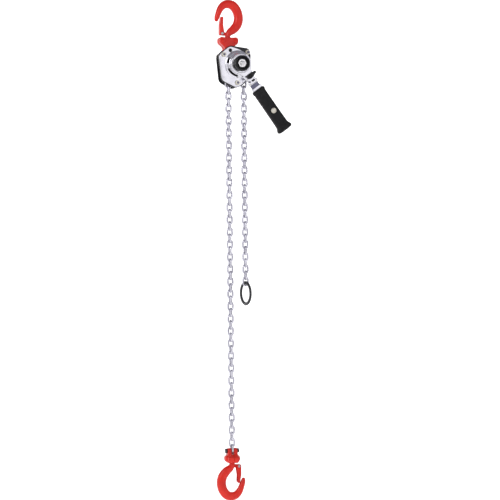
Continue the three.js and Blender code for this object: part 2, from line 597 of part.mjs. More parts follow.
// The grip's screw, held in the grip's front half, and the selector: a pawl inside the shells that
// turns with its stem, and a handle in front of them.
function addLeverDetails(group) {
  piece('grip_screw', join(
    barY(0, -110.8, 2.1, -32.9, -27 - 2 * GAP, 10), barY(0, -110.8, 5.4, -34, -32.8, 20)), ZINC, group);
  const pawl = rounded([
    [-4.5, -SELECTOR_AT - 3.5], [4.5, -SELECTOR_AT - 3.5], [5.8, -SELECTOR_AT + 15], [3, -SELECTOR_AT + 15.4],
    [0, -SELECTOR_AT + 10], [-3, -SELECTOR_AT + 15.4], [-5.8, -SELECTOR_AT + 15],
  ], 0.8);
  const handle = rounded([
    [-3.8, -SELECTOR_AT + 4], [3, -SELECTOR_AT + 4.4], [14.5, -SELECTOR_AT + 4.2], [15.5, -SELECTOR_AT - 0.5],
    [3.4, -SELECTOR_AT - 4.2], [-3.8, -SELECTOR_AT - 4],
  ], 1.4);
  const stem = barY(0, -SELECTOR_AT, 3, -33.4, -25, 16);
  piece('selector_lever', join(plateY(pawl, -28.4, -25), stem, plateY(handle, -34.4, -31)), BLACK, group);
}

function addKnob() {
  const front = -KNOB_FRONT;
  const hub = turned([
    [SHAFT_R + GAP, -31.2], [9.5, -31.2], [9.5, -33], [KNOB_R - 0.8, -33], [KNOB_R, -34],
    [KNOB_R, front + 1.6], [KNOB_R - 1.4, front], [7.8, front], [7.2, -34.4], [SHAFT_R + GAP, -34.4],
  ]);
  const flutes = Array.from({ length: 8 }, (_, i) => {
    const angle = i * Math.PI / 4;
    return barY(SHAFT_X + (KNOB_R + 1.6) * Math.cos(angle), SHAFT_Z + (KNOB_R + 1.6) * Math.sin(angle),
      2.6, front - 1, -32, 10);
  });
  piece('hand_knob', cut(hub, ...flutes), BLACK);
  const nut = barY(SHAFT_X, SHAFT_Z, 6.4, front - 0.6, -38.8, 6);
  piece('shaft_nut', cut(nut, barY(SHAFT_X, SHAFT_Z, SHAFT_R + GAP, -50, -30)), STEEL);
}

addLeverDetails(addLever());
addKnob();

// ---------------------------------------------------------------- load chain, slack chain and end ring
// One link as a plain frame in the XZ plane, or turned to the YZ plane. A joined end reaches its
// neighbour's bar; an open end stops short of it, where the next length of chain begins.
function linkGeometry(openTop, openBottom, turned90) {
  const half = PITCH / 2 + WIRE;
  const wide = LINK_WIDTH / 2;
  const shape = new THREE.Shape();
  shape.moveTo(wide, -half);
  shape.lineTo(wide, half);
  shape.lineTo(-wide, half);
  shape.lineTo(-wide, -half);
  shape.closePath();
  const reach = (open) => (open ? PITCH / 2 + 0.15 : PITCH / 2 - 0.2);
  const inner = LINK_WIDTH / 2 - WIRE;
  const hole = new THREE.Path();
  hole.moveTo(inner, -reach(openBottom));
  hole.lineTo(-inner, -reach(openBottom));
  hole.lineTo(-inner, reach(openTop));
  hole.lineTo(inner, reach(openTop));
  hole.closePath();
  shape.holes.push(hole);
  const geometry = new THREE.ExtrudeGeometry(shape, { depth: 3.2, bevelEnabled: false });
  geometry.translate(0, 0, -1.6).rotateX(Math.PI / 2);
  return turned90 ? geometry.rotateZ(Math.PI / 2) : geometry;
}

// Links first to last of a straight run, counted down from the sheave.
function straightRun(x, first, last) {
  const links = [];
  for (let k = first; k <= last; k++) {
    const geometry = linkGeometry(k === first && k > 0, k === last, k % 2 === 0);
    links.push(solid(geometry.translate(x, 0, SHAFT_Z - PITCH * k)));
  }
  return links;
}

function addChain() {
  const wrap = [1, 2, 3].map((i) => {
    const link = linkGeometry(false, false, i % 2 === 0);
    return solid(link.translate(-SHEAVE_R, 0, 0).rotateY(i * Math.PI / 4).translate(SHAFT_X, 0, SHAFT_Z));
  });
  piece('chain_over_sheave', join(
    ...straightRun(0, 0, LOAD_FIRST), ...wrap, ...straightRun(SLACK_X, 0, SLACK_FIRST)), STEEL);
  for (let i = 1; i <= LENGTHS; i++) {
    const load = LOAD_FIRST + i * LOAD_STEP;
    const slack = SLACK_FIRST + i * SLACK_STEP;
    piece(`load_chain_${i}`, join(...straightRun(0, load - LOAD_STEP + 1, load)), STEEL);
    piece(`slack_chain_${i}`, join(...straightRun(SLACK_X, slack - SLACK_STEP + 1, slack)), STEEL);
  }
  const ring = new THREE.TorusGeometry(RING_R, RING_RADIAL, 8, 24).scale(1, 1, RING_AXIAL / RING_RADIAL)
    .rotateY(Math.PI / 2).rotateZ(RING_TURN);
  const ringZ = LAST_SLACK_Z - PITCH / 2 + RING_RADIAL + GAP - RING_R;
  piece('end_ring', solid(ring.translate(SLACK_X, 0, ringZ)), BLACK);
}

addChain();

export default hoist;
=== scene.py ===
"""Lever chain hoist: the visible pieces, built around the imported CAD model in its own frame.

Lengths in the builders below are millimetres; SHAFT and the other pivots come from the frame's joints.
"""
import json
import math

import bmesh
import bpy
import numpy as np
from mathutils import Matrix, Vector


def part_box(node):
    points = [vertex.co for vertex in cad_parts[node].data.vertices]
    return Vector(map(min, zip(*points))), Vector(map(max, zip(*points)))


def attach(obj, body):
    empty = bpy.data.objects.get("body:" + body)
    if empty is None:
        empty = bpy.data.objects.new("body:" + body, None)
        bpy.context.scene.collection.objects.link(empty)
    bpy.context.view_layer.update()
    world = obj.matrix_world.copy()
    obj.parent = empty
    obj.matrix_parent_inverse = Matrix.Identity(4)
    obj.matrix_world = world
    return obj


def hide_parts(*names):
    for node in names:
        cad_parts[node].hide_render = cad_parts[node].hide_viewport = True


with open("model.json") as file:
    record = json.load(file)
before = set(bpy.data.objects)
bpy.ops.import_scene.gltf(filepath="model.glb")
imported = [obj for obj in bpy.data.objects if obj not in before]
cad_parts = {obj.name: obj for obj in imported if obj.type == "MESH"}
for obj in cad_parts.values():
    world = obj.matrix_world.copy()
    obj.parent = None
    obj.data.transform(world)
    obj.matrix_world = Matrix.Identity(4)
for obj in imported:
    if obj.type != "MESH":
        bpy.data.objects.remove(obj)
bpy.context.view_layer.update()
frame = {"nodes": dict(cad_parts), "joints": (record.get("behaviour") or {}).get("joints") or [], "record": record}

MM = 0.001
PIVOT = {j["name"]: Vector(j["pos_m"]) / MM for j in frame["joints"] if j.get("pos_m")}
SHAFT = PIVOT["lever_turn"]
SELECTOR = PIVOT["selector_turn"]
BOTTOM_SEAT = Vector((0, 0, PIVOT["bottom_latch_open"].z + PIVOT["top_latch_open"].z))
LEVER_ANGLE = math.atan2(SELECTOR.x - SHAFT.x, SHAFT.z - SELECTOR.z)
SELECTOR_AT = math.hypot(SELECTOR.x - SHAFT.x, SELECTOR.z - SHAFT.z)
PITCH = 12.0            # the chain's pitch
WIRE_R = 2.0
LINK_WIDTH = 13.6


def low(node):
    """The lower corner of a CAD node's box, in millimetres."""
    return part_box(node)[0] / MM


def high(node):
    """The upper corner of a CAD node's box, in millimetres."""
    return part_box(node)[1] / MM


# ---------------------------------------------------------------- materials
BUMP_DEPTH = 0.0004     # metres
COAT_ROUGHNESS = 0.08


def node_material(name):
    material = bpy.data.materials.new(name)
    material.use_nodes = True
    tree = material.node_tree
    return material, tree, tree.nodes["Principled BSDF"]


def noise(tree, scale):
    node = tree.nodes.new("ShaderNodeTexNoise")
    node.inputs["Scale"].default_value = scale
    node.inputs["Detail"].default_value = 4.0
    node.inputs["Roughness"].default_value = 0.55
    coords = tree.nodes.new("ShaderNodeTexCoord").outputs["Object"]
    tree.links.new(coords, node.inputs["Vector"])
    return node.outputs["Fac"]


def ramp(tree, source, stops):
    """A colour ramp; each stop is (position, colour or grey level)."""
    node = tree.nodes.new("ShaderNodeValToRGB")
    tree.links.new(source, node.inputs["Fac"])
    elements = node.color_ramp.elements
    while len(elements) < len(stops):
        elements.new(0.5)
    for element, (position, colour) in zip(elements, stops):
        element.position = position
        element.color = (*colour, 1) if isinstance(colour, tuple) else (colour, colour, colour, 1)
    return node.outputs["Color"]


def mix(tree, factor, first, second):
    """Blends two colours, each a constant or a socket."""
    node = tree.nodes.new("ShaderNodeMix")
    node.data_type = "RGBA"
    tree.links.new(factor, node.inputs["Factor"])
    for value, socket in ((first, node.inputs[6]), (second, node.inputs[7])):
        if isinstance(value, tuple):
            socket.default_value = (*value, 1)
        else:
            tree.links.new(value, socket)
    return node.outputs[2]


def bump(tree, shader, height, strength, distance):
    """Gives the surface a fine relief."""
    node = tree.nodes.new("ShaderNodeBump")
    node.inputs["Strength"].default_value = strength
    node.inputs["Distance"].default_value = distance
    tree.links.new(height, node.inputs["Height"])
    tree.links.new(node.outputs["Normal"], shader.inputs["Normal"])


def edge_mask(tree, start, end):
    """White on convex edges, where paint or plating wears."""
    geometry = tree.nodes.new("ShaderNodeNewGeometry")
    return ramp(tree, geometry.outputs["Pointiness"], [(start, 0.0), (end, 1.0)])


def metal(name, dark, light, roughness, grain=60.0, relief=0.02, wear=None):
    """Plated or machined metal: cloudy colour, uneven gloss and a fine surface."""
    material, tree, shader = node_material(name)
    shader.inputs["Metallic"].default_value = 1.0
    cloud = noise(tree, grain)
    colour = ramp(tree, cloud, [(0.3, dark), (0.7, light)])
    if wear:
        colour = mix(tree, edge_mask(tree, 0.52, 0.6), colour, wear)
    tree.links.new(colour, shader.inputs["Base Color"])
    gloss = ramp(tree, noise(tree, grain * 4), [(0.25, roughness[0]), (0.75, roughness[1])])
    tree.links.new(gloss, shader.inputs["Roughness"])
    bump(tree, shader, noise(tree, grain * 12), relief, BUMP_DEPTH)
    return material


def paint(name, dark, light, roughness, grain=40.0, relief=0.06, wear=None, coat=0.0,
          specular=0.5):
    """Enamel or moulded plastic: slight colour shifts, orange peel and scuffed edges."""
    material, tree, shader = node_material(name)
    colour = ramp(tree, noise(tree, grain), [(0.3, dark), (0.7, light)])
    if wear:
        scuff = tree.nodes.new("ShaderNodeMath")
        scuff.operation = "MULTIPLY"
        tree.links.new(edge_mask(tree, 0.53, 0.62), scuff.inputs[0])
        tree.links.new(ramp(tree, noise(tree, 300.0), [(0.45, 0.0), (0.6, 1.0)]), scuff.inputs[1])
        colour = mix(tree, scuff.outputs[0], colour, wear)
    tree.links.new(colour, shader.inputs["Base Color"])
    gloss = ramp(tree, noise(tree, grain * 3), [(0.25, roughness[0]), (0.75, roughness[1])])
    tree.links.new(gloss, shader.inputs["Roughness"])
    shader.inputs["Coat Weight"].default_value = coat
    shader.inputs["Specular IOR Level"].default_value = specular
    shader.inputs["Coat Roughness"].default_value = COAT_ROUGHNESS
    bump(tree, shader, noise(tree, grain * 10), relief, BUMP_DEPTH)
    return material


RED = paint("red_enamel", (0.60, 0.012, 0.006), (0.80, 0.026, 0.012), (0.28, 0.4), coat=0.15,
            wear=(0.28, 0.008, 0.006), specular=0.32)
CHROME = metal("chrome_plate", (0.70, 0.69, 0.74), (0.86, 0.86, 0.90), (0.10, 0.20), relief=0.012)
PLATED = metal("plated_chain", (0.50, 0.49, 0.56), (0.76, 0.75, 0.82), (0.20, 0.38), grain=90.0)
BRIGHT = metal("bright_steel", (0.80, 0.79, 0.80), (0.95, 0.94, 0.93), (0.16, 0.3), relief=0.02)
BLUED = metal("blued_steel", (0.13, 0.13, 0.19), (0.22, 0.22, 0.30), (0.26, 0.4), relief=0.03)
MACHINED = metal("machined_steel", (0.36, 0.36, 0.38), (0.58, 0.58, 0.60), (0.24, 0.4))
ZINC = metal("yellow_zinc", (0.60, 0.56, 0.46), (0.82, 0.79, 0.70), (0.22, 0.38))
BLACK = paint("black_enamel", (0.005, 0.005, 0.007), (0.013, 0.013, 0.017), (0.26, 0.42), coat=0.1,
              wear=(0.07, 0.07, 0.08), specular=0.4)
PLASTIC = paint("black_plastic", (0.004, 0.004, 0.005), (0.010, 0.010, 0.012), (0.3, 0.46), grain=70.0,
                specular=0.4)
RUBBER = paint("grip_rubber", (0.0035, 0.0035, 0.004), (0.010, 0.010, 0.011), (0.5, 0.72), grain=110.0,
               relief=0.25, specular=0.3)
LINING = paint("brake_lining", (0.07, 0.05, 0.04), (0.16, 0.12, 0.09), (0.8, 0.95), grain=300.0, relief=0.3)
# MACHINED comes last of the three steels, so CAD nodes with the machined_steel slot get it.
SLOTS = {
    RED: "red_paint", CHROME: "chrome", PLATED: "plated_steel", BLUED: "machined_steel",
    BRIGHT: "machined_steel", MACHINED: "machined_steel", ZINC: "zinc_fastener", BLACK: "black_paint",
    PLASTIC: "black_plastic", RUBBER: "rubber", LINING: "lining",
}


# ---------------------------------------------------------------- mesh builders
def piece(name, body, material, bm, replaces=(), sharp=32.0):
    """Turns a bmesh in millimetres into a named piece that rides on a CAD body."""
    bmesh.ops.remove_doubles(bm, verts=bm.verts, dist=1e-4)
    bmesh.ops.recalc_face_normals(bm, faces=bm.faces)
    bmesh.ops.scale(bm, vec=(MM, MM, MM), verts=bm.verts)
    mesh = bpy.data.meshes.new(name)
    bm.to_mesh(mesh)
    bm.free()
    mesh.polygons.foreach_set("use_smooth", [True] * len(mesh.polygons))
    mesh.set_sharp_from_angle(angle=math.radians(sharp))
    mesh.materials.append(material)
    obj = bpy.data.objects.new(name, mesh)
    bpy.context.scene.collection.objects.link(obj)
    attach(obj, body)
    if replaces:
        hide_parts(*replaces)
    return obj


def loft(bm, rings, closed=False, caps=True):
    """Skins a list of rings, each a list of points, as a tube."""
    layers = [[bm.verts.new(p) for p in ring] for ring in rings]
    count = len(layers[0])
    pairs = list(zip(layers, layers[1:])) + ([(layers[-1], layers[0])] if closed else [])
    for lower, upper in pairs:
        for j in range(count):
            k = (j + 1) % count
            bm.faces.new((lower[j], lower[k], upper[k], upper[j]))
    if caps and not closed:
        bm.faces.new(list(reversed(layers[0])))
        bm.faces.new(layers[-1])


def circle(radius, height, steps, axis="Y", centre=(0, 0, 0), lobes=None):
    """A ring of points round an axis through the centre; lobes(angle) scales the radius."""
    points = []
    for i in range(steps):
        angle = 2 * math.pi * i / steps
        r = radius * (lobes(angle) if lobes else 1.0)
        u, v = r * math.cos(angle), r * math.sin(angle)
        offset = {"X": (height, u, v), "Y": (u, height, v), "Z": (u, v, height)}[axis]
        points.append(Vector(centre) + Vector(offset))
    return points


def turned(bm, profile, axis="Y", centre=(0, 0, 0), steps=72, closed=False, lobes=None):
    """A solid of revolution. The profile is a list of (radius, height) along the axis."""
    rings = [circle(max(r, 0.01), h, steps, axis, centre, lobes) for r, h in profile]
    loft(bm, rings, closed=closed)


def bar(bm, radius, start, end, axis="Y", centre=(0, 0, 0), edge=0.4, steps=32):
    """A round bar with chamfered ends."""
    turned(bm, [(radius - edge, start), (radius, start + edge), (radius, end - edge), (radius - edge, end)],
           axis, centre, steps)


def hexagon(bm, flats, start, end, axis="Y", centre=(0, 0, 0)):
    """A hexagonal head or nut with turned corners at both ends."""
    corner = flats / math.sqrt(3)

    def ring(height, limit):
        points = circle(1, height, 48, axis, centre)
        out = []
        for i, point in enumerate(points):
            angle = (2 * math.pi * i / 48) % (math.pi / 3) - math.pi / 6
            reach = min(flats / 2 / math.cos(angle), limit)
            base = Vector(centre) + {"X": Vector((height, 0, 0)), "Y": Vector((0, height, 0)),
                                     "Z": Vector((0, 0, height))}[axis]
            out.append(base + (point - base) * reach)
        return out

    chamfer = (corner - flats / 2) * 0.6
    loft(bm, [ring(start, flats / 2), ring(start + chamfer, corner), ring(end - chamfer, corner),
              ring(end, flats / 2)])


def rounded(corners, radius, steps=6):
    """An outline with its corners rounded by quadratic arcs."""
    points = []
    for i, corner in enumerate(corners):
        here = Vector(corner)
        before = Vector(corners[i - 1]) - here
        after = Vector(corners[(i + 1) % len(corners)]) - here
        reach = min(radius, before.length * 0.48, after.length * 0.48)
        enter, leave = here + before.normalized() * reach, here + after.normalized() * reach
        for s in range(steps + 1):
            t = s / steps
            points.append(enter * (1 - t) ** 2 + here * 2 * t * (1 - t) + leave * t ** 2)
    return points


def arc(cx, cz, radius, start, end, steps):
    """Points of an arc, with its angles in degrees."""
    angles = [math.radians(start + (end - start) * i / steps) for i in range(steps + 1)]
    return [Vector((cx + radius * math.cos(a), cz + radius * math.sin(a))) for a in angles]


def plate(outline, start, end, edge, holes=(), plane="XZ"):
    """A flat piece with rounded edges, cut from its outline; the holes are (x, z, radius) or outlines."""
    curve = bpy.data.curves.new("outline", "CURVE")
    curve.dimensions = "2D"
    curve.fill_mode = "BOTH"
    curve.extrude = (end - start) / 2 - edge
    curve.bevel_depth = edge
    curve.bevel_resolution = 3
    curve.offset = -edge
    outlines = [outline] + [h if isinstance(h, list) else arc(*h, 360, 0, 32)[:-1] for h in holes]
    for points in outlines:
        spline = curve.splines.new("POLY")
        spline.use_cyclic_u = True
        spline.points.add(len(points) - 1)
        for target, point in zip(spline.points, points):
            target.co = (point[0], point[1], 0, 1)
    obj = bpy.data.objects.new("outline", curve)
    bpy.context.scene.collection.objects.link(obj)
    bpy.context.view_layer.update()
    mesh = bpy.data.meshes.new_from_object(obj.evaluated_get(bpy.context.evaluated_depsgraph_get()))
    bm = bmesh.new()
    bm.from_mesh(mesh)
    bpy.data.objects.remove(obj)
    bpy.data.meshes.remove(mesh)
    bpy.data.curves.remove(curve)
    middle = (start + end) / 2
    for vertex in bm.verts:
        a, b, c = vertex.co
        vertex.co = (a, middle - c, b) if plane == "XZ" else (middle + c, a, b)
    bmesh.ops.remove_doubles(bm, verts=bm.verts, dist=1e-3)
    return bm


def made(builder, *args, **options):
    """A new bmesh with one of the builders run on it."""
    bm = bmesh.new()
    builder(bm, *args, **options)
    return bm


def absorb(bm, other):
    """Adds another bmesh to this one."""
    mesh = bpy.data.meshes.new("part")
    other.to_mesh(mesh)
    other.free()
    bm.from_mesh(mesh)
    bpy.data.meshes.remove(mesh)
    return bm


def moved(bm, matrix):
    """The same bmesh after a transform."""
    bmesh.ops.transform(bm, matrix=matrix, verts=bm.verts)
    return bm


def boolean(bm, cutter, operation="DIFFERENCE"):
    """Cuts one solid bmesh with another, or joins them."""
    objects = []
    for part in (bm, cutter):
        bmesh.ops.recalc_face_normals(part, faces=part.faces)
        mesh = bpy.data.meshes.new("part")
        part.to_mesh(mesh)
        part.free()
        obj = bpy.data.objects.new("part", mesh)
        bpy.context.scene.collection.objects.link(obj)
        objects.append(obj)
    modifier = objects[0].modifiers.new("cut", "BOOLEAN")
    modifier.operation = operation
    modifier.solver = "EXACT"
    modifier.object = objects[1]
    bpy.context.view_layer.update()
    result = bpy.data.meshes.new_from_object(objects[0].evaluated_get(bpy.context.evaluated_depsgraph_get()))
    out = bmesh.new()
    out.from_mesh(result)
    bpy.data.meshes.remove(result)
    for obj in objects:
        bpy.data.objects.remove(obj)
    return out


def block(size_low, size_high):
    """A box between two corners."""
    bm = bmesh.new()
    bmesh.ops.create_cube(bm, size=1)
    for vertex in bm.verts:
        for i in range(3):
            vertex.co[i] = size_high[i] if vertex.co[i] > 0 else size_low[i]
    return bm


def spline_at(stations, t):
    """A Catmull-Rom curve through stations of any dimension, at t from 0 to 1."""
    span = t * (len(stations) - 1)
    i = min(int(span), len(stations) - 2)
    f = span - i
    p = [np.array(stations[min(max(i + k, 0), len(stations) - 1)], float) for k in (-1, 0, 1, 2)]
    return 0.5 * (2 * p[1] + (p[2] - p[0]) * f + (2 * p[0] - 5 * p[1] + 4 * p[2] - p[3]) * f ** 2
                  + (3 * p[1] - p[0] - 3 * p[2] + p[3]) * f ** 3)


# ---------------------------------------------------------------- hooks with their latches
# Each station is x, z, half width in the hook's plane and half width across it; the bowl seat is the origin.
HOOK = [
    (-23.4, -24.6, 3.2, 3), (-21.9, -18.8, 4.8, 4.1), (-19.4, -11.5, 5.4, 4.9), (-14.6, -1, 6.4, 5.8),
    (-7.5, 6.2, 7.4, 6.4), (1.5, 8.6, 8.3, 6.8), (11.5, 5.4, 8.7, 7), (19.3, -4.5, 8.9, 7),
    (22.4, -17.5, 9, 7), (20, -30.2, 9, 6.8), (12.4, -40, 8.4, 6.4), (4.6, -45.8, 7, 5.8),
    (0.5, -51.4, 5.5, 5.4), (0, -57, 5.2, 5.2), (0, -64, 5.2, 5.2),
]
HOOK_STEPS = 150
LATCH_PIN = Vector((-12.6, 0, -49.5))
NECK_R = 5.2
POINT_DOME = 1.6        # how far the hook's point rounds out past its first station


def hook_ring(station, side, squareness, scale=1.0, shift=0.0, sides=36):
    """One section of the forging: an ellipse with fuller sides, set square to the curve."""
    x, z, half_in, half_y = station
    along = Vector((-side.z, 0, side.x))
    centre = Vector((x, 0, z)) + along * shift
    points = []
    for i in range(sides):
        angle = 2 * math.pi * i / sides
        c, s = math.cos(angle), math.sin(angle)
        u = math.copysign(abs(c) ** (2 / squareness), c) * half_in * scale
        v = math.copysign(abs(s) ** (2 / squareness), s) * half_y * scale
        points.append(centre + side * u + Vector((0, v, 0)))
    return points


def hook_mesh():
    """The forged hook from its domed point to its neck, with its head and the lug that holds the latch."""
    rings = []
    for i in range(HOOK_STEPS + 1):
        t = i / HOOK_STEPS
        here = spline_at(HOOK, t)
        ahead, behind = spline_at(HOOK, min(t + 0.004, 1)), spline_at(HOOK, max(t - 0.004, 0))
        tangent = Vector((ahead[0] - behind[0], 0, ahead[1] - behind[1])).normalized()
        side = Vector((tangent.z, 0, -tangent.x))
        squareness = 2.0 + 0.55 * math.sin(math.pi * min(t * 1.25, 1))
        if i == 0:
            # the point is closed by a short dome
            for dome in (0.35, 0.72, 0.92):
                back = math.sqrt(1 - dome ** 2) * POINT_DOME
                rings.append(hook_ring(here, side, squareness, dome, -back))
        rings.append(hook_ring(here, side, squareness))
    bm = made(loft, rings)
    absorb(bm, made(turned, [(5, -62), (6.9, -63), (7.5, -63.6), (7.5, -70.1), (6.9, -70.7), (4.5, -70.7)],
                    "Z", steps=48))
    lug = plate(rounded([(LATCH_PIN.x - 3.5, LATCH_PIN.z - 2.6), (LATCH_PIN.x - 2.8, LATCH_PIN.z + 2.6),
                         (LATCH_PIN.x + 2, LATCH_PIN.z + 3.4), (1, LATCH_PIN.z + 1.6),
                         (1, LATCH_PIN.z - 4), (LATCH_PIN.x + 1, LATCH_PIN.z - 3.5)], 2.2), -2, 2, 0.5)
    return absorb(bm, lug)


def latch_mesh():
    """The pressed latch: two cheeks on the pin, and a web that rests inside the hook's point."""
    x, z = LATCH_PIN.x, LATCH_PIN.z
    side = rounded([(x - 4.8, z - 3), (x + 3.6, z - 3), (x + 4.2, z + 4), (x + 2.2, z + 17),
                    (x + 2.8, z + 31), (x + 1, z + 33), (x - 1.6, z + 32.5), (x - 4.6, z + 17)], 1.6)
    inside = [(x - 3.5, z - 9), (x + 12, z - 9), (x + 12, z + 29), (x - 0.2, z + 29), (x - 3.2, z + 17)]
    return boolean(plate(side, -5.1, 5.1, 0.8), plate(rounded(inside, 1.5), -3.9, 3.9, 0.6))


def latch_pin_mesh():
    """The latch's pin, with a rivet head at each end."""
    return made(turned, [(1.2, -6.4), (2.2, -6.5), (2.6, -5.9), (2.6, -5.4), (1.4, -5.4), (1.4, 5.4),
                         (2.6, 5.4), (2.6, 5.9), (2.2, 6.5), (1.2, 6.4)], centre=LATCH_PIN, steps=32)


def spring_mesh():
    """Coils of the latch spring, round its pin."""
    coils, steps, wire, coil_r, lead = 2.4, 90, 0.28, 2.35, 0.7
    rings = []
    for i in range(steps + 1):
        turn = 2 * math.pi * coils * i / steps
        out = Vector((math.cos(turn), 0, math.sin(turn)))
        centre = Vector((LATCH_PIN.x, 2.6 + lead * i / steps, LATCH_PIN.z)) + out * coil_r
        rings.append([centre + (out * math.cos(a) + Vector((0, 1, 0)) * math.sin(a)) * wire
                      for a in [2 * math.pi * j / 8 for j in range(8)]])
    return made(loft, rings)


def add_hook(name, hook_body, place):
    """A hook with its latch, pin and spring, made about the top hook's seat and moved to its place."""
    latch_body = f"{name}_latch_body"
    for part, body, make, material in (
            ("hook", hook_body, hook_mesh, RED), ("latch", latch_body, latch_mesh, RED),
            ("latch_pin", hook_body, latch_pin_mesh, MACHINED),
            ("latch_spring", hook_body, spring_mesh, MACHINED)):
        piece(f"{name}_{part}_form", body, material, moved(make(), place), [f"{name}_{part}"])


add_hook("top", "hook_body", Matrix.Identity(4))
add_hook("bottom", "bottom_hook_body", Matrix.Translation(BOTTOM_SEAT) @ Matrix.Rotation(math.pi, 4, "Y"))


# ---------------------------------------------------------------- yokes
def head_hollow(seat, direction):
    """The space round a hook's neck and head; the direction is -1 below the seat and 1 above it."""
    neck_span = sorted(seat + direction * h for h in (54, 65))
    head_span = sorted(seat + direction * h for h in (62.7, 71))
    neck = made(bar, NECK_R + 0.5, *neck_span, axis="Z", edge=0.1, steps=48)
    head = made(bar, 7.9, *head_span, axis="Z", edge=0.1, steps=48)
    return boolean(neck, head, "UNION")


def rivet_head(bm, axis, centre, inner, outer):
    """A domed rivet head between two planes square to the axis."""
    rise = outer - inner
    turned(bm, [(4.2, inner), (4.2, inner + rise * 0.35), (3.6, inner + rise * 0.75),
                (2.2, inner + rise * 0.95), (0.4, outer)], axis, centre, 32)


PIN_Z = PIVOT["frame_swing"].z
TOP_YOKE = [(-16, -56.3), (-7.5, -57.2), (7.5, -57.2), (16, -56.3), (19.2, -60), (19, -68), (9.1, -76),
            (7.6, -84), (5.4, -88.4), (0, -90.6), (-5.4, -88.4), (-7.6, -84), (-9.1, -76), (-19, -68),
            (-19.2, -60)]
for part, start, end, rivet_ends in (("front", -9.5, -0.15, (-9.1, -11.2)), ("rear", 0.15, 9.5, (9.1, 11.4))):
    half = boolean(plate(rounded(TOP_YOKE, 3.4), start, end, 1.7, [(0, PIN_Z, 3.7)]), head_hollow(0, -1))
    for x in (-13.2, 13.2):
        rivet_head(half, "Y", (x, 0, -64.5), *rivet_ends)
    piece(f"top_yoke_{part}_form", "yoke_body", RED, half, [f"top_yoke_{part}"])

# the pin stops inside the front plate, and its black enamel is painted shade so that the keyhole reads as a dark
# hole
top_pin = made(bar, 3.4, -11.0, 13.5, centre=(0, 0, PIN_Z))
piece("top_pin_form", "frame_body", BLACK, top_pin, ["top_pin"])

LOAD_PIN_Z = PIVOT["block_swing"].z
YOKE_LOW = BOTTOM_SEAT.z + 56.3
BOTTOM_YOKE = [
    (-9, 0), (9, 0), (15.5, 4.5), (15.5, 12), (9, 15), (5.5, 18.5), (5.5, 23.6), (3.9, 27.5), (0, 29.1),
    (-3.9, 27.5), (-5.5, 23.6), (-5.5, 18.5), (-9, 15), (-15.5, 12), (-15.5, 4.5),
]


def swell(cut_start, cut_end):
    """The bulge of one half of the lower yoke around the hook's head; the other half is cut away."""
    bm = bmesh.new()
    bmesh.ops.create_uvsphere(bm, u_segments=64, v_segments=32, radius=1)
    for vertex in bm.verts:
        for axis in range(3):
            # fuller than an ellipsoid, as a forging is
            vertex.co[axis] = math.copysign(abs(vertex.co[axis]) ** 0.72, vertex.co[axis])
    moved(bm, Matrix.Translation((0, 0, YOKE_LOW + 8.6)) @ Matrix.Diagonal((15.4, 12.2, 7.9, 1)))
    return boolean(bm, block((cut_start, -30, YOKE_LOW - 20), (cut_end, 30, YOKE_LOW + 40)))


# each half: its name, its extent in x, the swell's far side, the outer space at the ears and the rivet heads
for part, (start, end), far_side, outer_side, rivet_ends in (
        ("left", (-10, -0.15), (-0.15, 30), (-30, -9.9), (-9.6, -11.8)),
        ("right", (0.15, 10), (-30, 0.15), (9.9, 30), (9.6, 11.8))):
    outline = rounded([(y, YOKE_LOW + z) for y, z in BOTTOM_YOKE], 2.4)
    half = plate(outline, start, end, 1.6, plane="YZ")
    half = boolean(half, head_hollow(BOTTOM_SEAT.z, 1))
    half = boolean(half, block((-2.7, -20, LOAD_PIN_Z - 7.1), (2.7, 20, LOAD_PIN_Z + 12)))
    half = boolean(half, block((outer_side[0], -30, YOKE_LOW + 17), (outer_side[1], 30, YOKE_LOW + 40)))
    absorb(half, boolean(swell(*far_side), head_hollow(BOTTOM_SEAT.z, 1)))
    for y in (-11.2, 11.2):
        rivet_head(half, "X", (0, y, YOKE_LOW + 8.7), *rivet_ends)
    piece(f"bottom_yoke_{part}_form", "block_body", RED, half, [f"bottom_yoke_{part}"])

load_pin = (0, 0, LOAD_PIN_Z)
chain_pin = made(bar, 2.3, -11, 14.2, "X", load_pin)
absorb(chain_pin, made(hexagon, 8.7, -13.6, -10.2, "X", load_pin))
piece("chain_pin_form", "block_body", BLACK, chain_pin, ["chain_pin"])
chain_pin_nut = made(hexagon, 8.0, 10.2, 13.4, "X", load_pin)
piece("chain_pin_nut_form", "block_body", BLACK, chain_pin_nut, ["chain_pin_nut"])


# ---------------------------------------------------------------- frame plates, covers and stay bolts
FRAME_CORNERS = [(-1, -73.3), (40, -78), (43, -94), (30, -147), (11, -156), (-18.5, -142), (-25, -92)]
COVER_CORNERS = [(-1, -74.6), (20, -81), (37, -92), (42, -108), (37, -127), (27, -146), (12, -155),
                 (-18, -141.3), (-24, -92.6)]
REAR_PLATE_CORNERS = [(-1, -73.3), (40, -78), (43, -94), (30, -147), (11, -156), (-15.5, -142), (-20.5, -92)]
REAR_CORNERS = [(-1, -76.5), (37, -80), (40, -94), (28, -144), (11, -153), (-13, -140), (-18.5, -93)]
STAYS = [((low(f"stay_bolt_{i}").x + high(f"stay_bolt_{i}").x) / 2,
          (low(f"stay_bolt_{i}").z + high(f"stay_bolt_{i}").z) / 2) for i in (1, 2, 3)]
STAY_HOLES = [(x, z, 2.8) for x, z in STAYS]
FLANGE_IN, FLANGE_OUT = 13.8, 15.8
DRUM_R = 25.2

